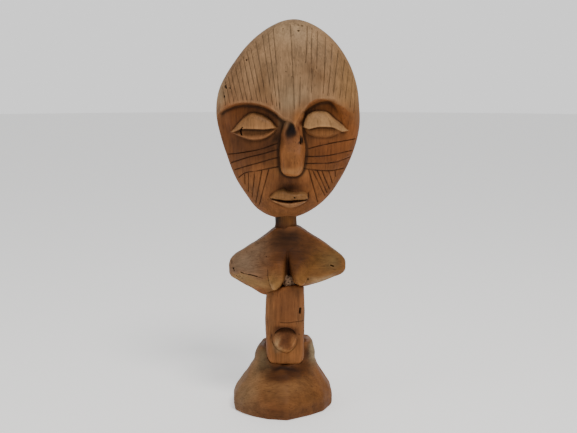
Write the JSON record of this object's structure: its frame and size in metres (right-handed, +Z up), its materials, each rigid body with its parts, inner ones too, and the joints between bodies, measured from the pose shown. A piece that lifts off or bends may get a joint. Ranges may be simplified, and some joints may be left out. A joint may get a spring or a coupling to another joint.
{
  "type": "carved standing figure",
  "caption": "Carved wooden standing figure: large egg-shaped mask-like head, short neck, pointed shoulder block with breasts, slim column body with navel knob, faceted bell-shaped base.",
  "frame": {"origin": "on the floor, under the axis of the column body", "axes": "+Z up, the face looks along -Y, +X to the right as seen from the front"},
  "size_m": [0.1274, 0.095, 0.3509],
  "materials": {
    "head_wood": "aged hand-carved wood, dry, with incised lines",
    "neck_wood": "dark-stained turned peg",
    "shoulder_wood": "aged hand-carved wood, dry",
    "torso_wood": "aged hand-carved wood, dry",
    "base_wood": "aged hand-carved wood, dry, stained under the column",
    "dowel_wood": "plain unfinished dowel",
    "filler": "grey-white crumbly wood filler"
  },
  "bodies": {
    "root": {"base": "base_wood", "torso": "torso_wood", "shoulders": "shoulder_wood", "cleft_filler": "filler", "neck": "neck_wood", "head": "head_wood", "waist_dowel": "dowel_wood", "foot_dowel": "dowel_wood"}
  },
  "joints": []
}
